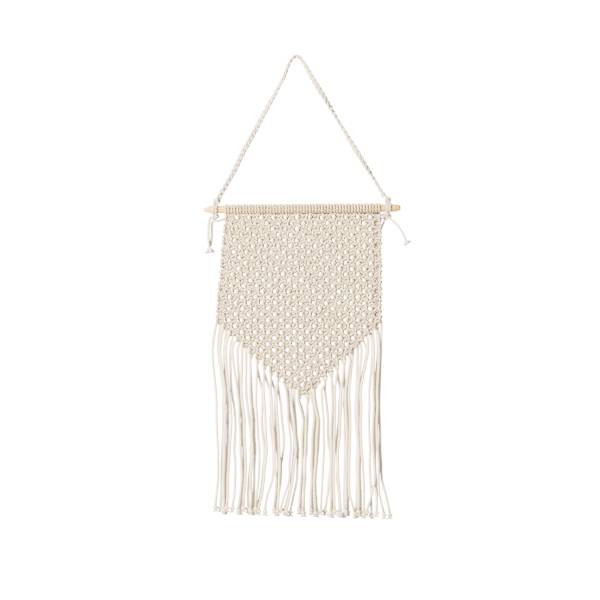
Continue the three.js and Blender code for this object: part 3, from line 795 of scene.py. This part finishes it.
def strandRoute(number, leaves, last):
    # from where it leaves its last square knot to the knot at its end
    radius = fringe["radius"]
    end = strandEnd(number)
    route = []
    if number in shoulders and leaves[2] > shoulderHeight + fringe["shoulderGap"]:
        y = end.y * fringe["shoulderLayer"]
        route.append((shoulders[number], y, shoulderHeight, radius, radius))
    rows = [(-z, x) for z, x in zip(fringeHeights, fringeStrands[number])] + [(-end.z, end.x)]
    if number not in shoulders and number not in fringeSpread:
        # the two strands that leave a knot hang one before the other, a little further out
        side = -1 if number < net["cords"] / 2 else 1
        below = leaves[2] - fringe["drop"]
        if below > fringeHeights[0] + fringe["clear"]:
            x = knotPlaces[last]["centre"].x + side * fringe["bow"]
            route.append((x, end.y, below, radius, radius))
    if number in fringeSpread:
        z, x = fringeSpread[number]
        route.append((x, end.y, z, radius, radius))
    waves = fringeWaves.get(number, {})
    for z in sorted(fringeHeights + waveHeights, reverse=True):
        x = tableValue(rows, -z)
        if z in waveHeights:
            x += waves.get(z, draw.uniform(-1, 1) * fringe["wobble"])
        if z < leaves[2] - fringe["clear"]:
            route.append((x, end.y, z, radius, radius))
    route.append((end.x, end.y, end.z + fringe["knotSize"][2] * fringe["knotInset"], radius, radius))
    return route


def addEndKnot(build, number):
    end = strandEnd(number)
    turn = draw.uniform(0, 2 * math.pi)
    size = fringe["knotSize"]
    addOverhand(build, end, size, fringe["knotCord"], fringe["knotSides"], fringe["knotStations"], turn)
    root = end - up * size[2] * fringe["knotInset"]
    way = Vector((draw.uniform(-0.25, 0.25), draw.uniform(-0.15, 0.15), -1)).normalized()
    addTuft(build, root, way, fringe)


def nearestStation(route, point):
    target = Vector(point[:3])
    return min(range(len(route)), key=lambda i: (Vector(route[i][:3]) - target).length_squared)


strandLengths = []


def makeCords():
    # each cord is one route, cut where it passes into the net and where it passes into the fringe
    names = ("heading", "netLeft", "netRight", "fringeLeft", "fringeRight")
    pieces = {name: Lofts(cord["sides"]) for name in names}
    for number in range(net["cords"]):
        left = number < net["cords"] / 2
        wraps = headingRoute(number)
        knots, last = netRoute(number)
        loose = strandRoute(number, knots[-1], last)
        full = smoothRoute(wraps + knots + loose, net["bend"], net["longest"])
        cuts = [nearestStation(full, wraps[-1]), nearestStation(full, knots[-1])]
        frames = ringFrames(full, back)
        start = 0.0
        parts = (
            ("heading", 0, cuts[0]),
            ("netLeft" if left else "netRight", cuts[0], cuts[1]),
            ("fringeLeft" if left else "fringeRight", cuts[1], len(full) - 1),
        )
        for name, first, final in parts:
            portion = full[first:final + 1]
            pieces[name].loft(portion, frames[first:final + 1], start, cord["sides"], domed=False)
            start += routeLength(portion)
        addEndKnot(pieces["fringeLeft" if left else "fringeRight"], number)
        strandLengths.append(start)
    return pieces


cords = makeCords()
settle(cords["heading"].piece("larks_heads", wrappedCotton), "cotton_cord", "heading_loops")
settle(cords["netLeft"].piece("net_left_cords", knottedCotton), "cotton_cord", "net")
settle(cords["netRight"].piece("net_right_cords", knottedCotton), "cotton_cord", "net")
settle(cords["fringeLeft"].piece("fringe_left_cords", looseCotton), "fringe_cord", "fringe_left")
settle(cords["fringeRight"].piece("fringe_right_cords", looseCotton), "fringe_cord", "fringe_right")
for name, build in cords.items():
    print(name, len(build.faces), "faces")
print("net knotted,", round(sum(strandLengths), 2), "m of cord as it lies")


# each tie goes round the dowel between its two knots
tieCord = {
    "above": 0.0009, "slant": 0.0006, "thin": 0.00115, "wide": 0.0016, "steps": 16,
    "knotCord": 0.0019, "stations": 36, "loopRadius": 0.0013,
}
# where each tie's turns cross the dowel, the centre and size of its two knots, and its short loops
ties = {
    "left": {"node": "tie_left", "wraps": (-0.1078, -0.1046), "knots": [
        ((-0.104, -0.001, -0.1868), (0.0118, 0.0095, 0.0098)),
        ((-0.1056, 0, -0.2058), (0.0112, 0.0095, 0.0102)),
    ], "loops": []},
    "right": {"node": "tie_right", "wraps": (0.1182, 0.1212), "knots": [
        ((0.1184, -0.001, -0.1843), (0.0096, 0.009, 0.0124)),
        ((0.1166, 0, -0.2058), (0.015, 0.0095, 0.0108)),
    ], "loops": [[
        (0.114, -0.001, -0.2068), (0.112, -0.003, -0.2042), (0.1092, -0.0034, -0.2034),
        (0.1066, -0.0026, -0.205), (0.1066, 0, -0.2078), (0.1092, 0.0014, -0.209), (0.1122, 0.0008, -0.208),
    ]]},
}


def makeTie(side, tie):
    build = Lofts(cord["sides"])
    for x in tie["wraps"]:
        height = dowelHeight(x)
        reach = dowel["radius"] + tieCord["above"]
        route = []
        for step in range(tieCord["steps"] + 1):
            angle = 2 * math.pi * step / tieCord["steps"]
            route.append((
                x + tieCord["slant"] * math.sin(angle), reach * math.cos(angle),
                height + reach * math.sin(angle), tieCord["thin"], tieCord["wide"],
            ))
        build.add(route)
    for centre, size in tie["knots"]:
        turn = draw.uniform(0, 6)
        addOverhand(build, centre, size, tieCord["knotCord"], cord["sides"], tieCord["stations"], turn)
    radius = tieCord["loopRadius"]
    for loop in tie["loops"]:
        build.add(smoothRoute([(*point, radius, radius) for point in loop], cord["loopBend"]))
    return settle(build.piece("tie_" + side + "_cord", braidedCotton), "cotton_cord", tie["node"])


for side, tie in ties.items():
    makeTie(side, tie)
print("ties knotted")


warmLight = (1.0, 0.8, 0.56)
coolLight = (1.0, 0.97, 0.93)
# the world is as bright as seen where it is looked at, and as ambient where it lights the hanging
studio = {"floor": -3.0, "floorRadius": 9.0, "floorGlow": 0.9, "seen": 18.0, "ambient": 0.10}
lights = {
    "key": {"place": (-2.0, -1.6, 0.55), "size": 0.9, "power": 960, "colour": warmLight},
    "fill": {"place": (1.9, -2.2, -0.2), "size": 2.0, "power": 46, "colour": coolLight},
    "back": {"place": (2.6, 2.6, 0.9), "size": 1.2, "power": 190, "colour": coolLight},
}


def makeFloor():
    bpy.ops.object.select_all(action="DESELECT")
    bpy.ops.mesh.primitive_circle_add(
        vertices=96, radius=studio["floorRadius"], fill_type="NGON", location=(0, 0, studio["floor"]),
    )
    floor = bpy.context.object
    floor.name = "pale_floor"
    bpy.ops.object.transform_apply(location=True, rotation=True, scale=True)
    shader = Shader("pale floor")
    floor.data.materials.append(shader.finish({
        "Base Color": (0.85, 0.85, 0.84, 1), "Roughness": 0.8,
        "Emission Color": (1, 0.99, 0.97, 1), "Emission Strength": studio["floorGlow"],
    }))


def makeLights():
    for name, light in lights.items():
        data = bpy.data.lights.new(name, "AREA")
        data.size = light["size"]
        data.energy = light["power"]
        data.color = light["colour"]
        made = bpy.data.objects.new(name, data)
        bpy.context.scene.collection.objects.link(made)
        made.location = light["place"]
        aim = Vector(camera["aim"]) - made.location
        made.rotation_euler = aim.to_track_quat("-Z", "Y").to_euler()


def makeWorld():
    world = bpy.data.worlds.new("studio")
    bpy.context.scene.world = world
    world.use_nodes = True
    tree = world.node_tree
    tree.nodes.clear()
    path = tree.nodes.new("ShaderNodeLightPath")
    choice = tree.nodes.new("ShaderNodeMixShader")
    tree.links.new(path.outputs["Is Camera Ray"], choice.inputs[0])
    for place, colour, strength in ((1, coolLight, studio["ambient"]), (2, (1, 1, 1), studio["seen"])):
        light = tree.nodes.new("ShaderNodeBackground")
        light.inputs["Color"].default_value = (*colour, 1)
        light.inputs["Strength"].default_value = strength
        tree.links.new(light.outputs[0], choice.inputs[place])
    output = tree.nodes.new("ShaderNodeOutputWorld")
    tree.links.new(choice.outputs[0], output.inputs["Surface"])


makeFloor()
makeLights()
makeWorld()
print("studio lit")
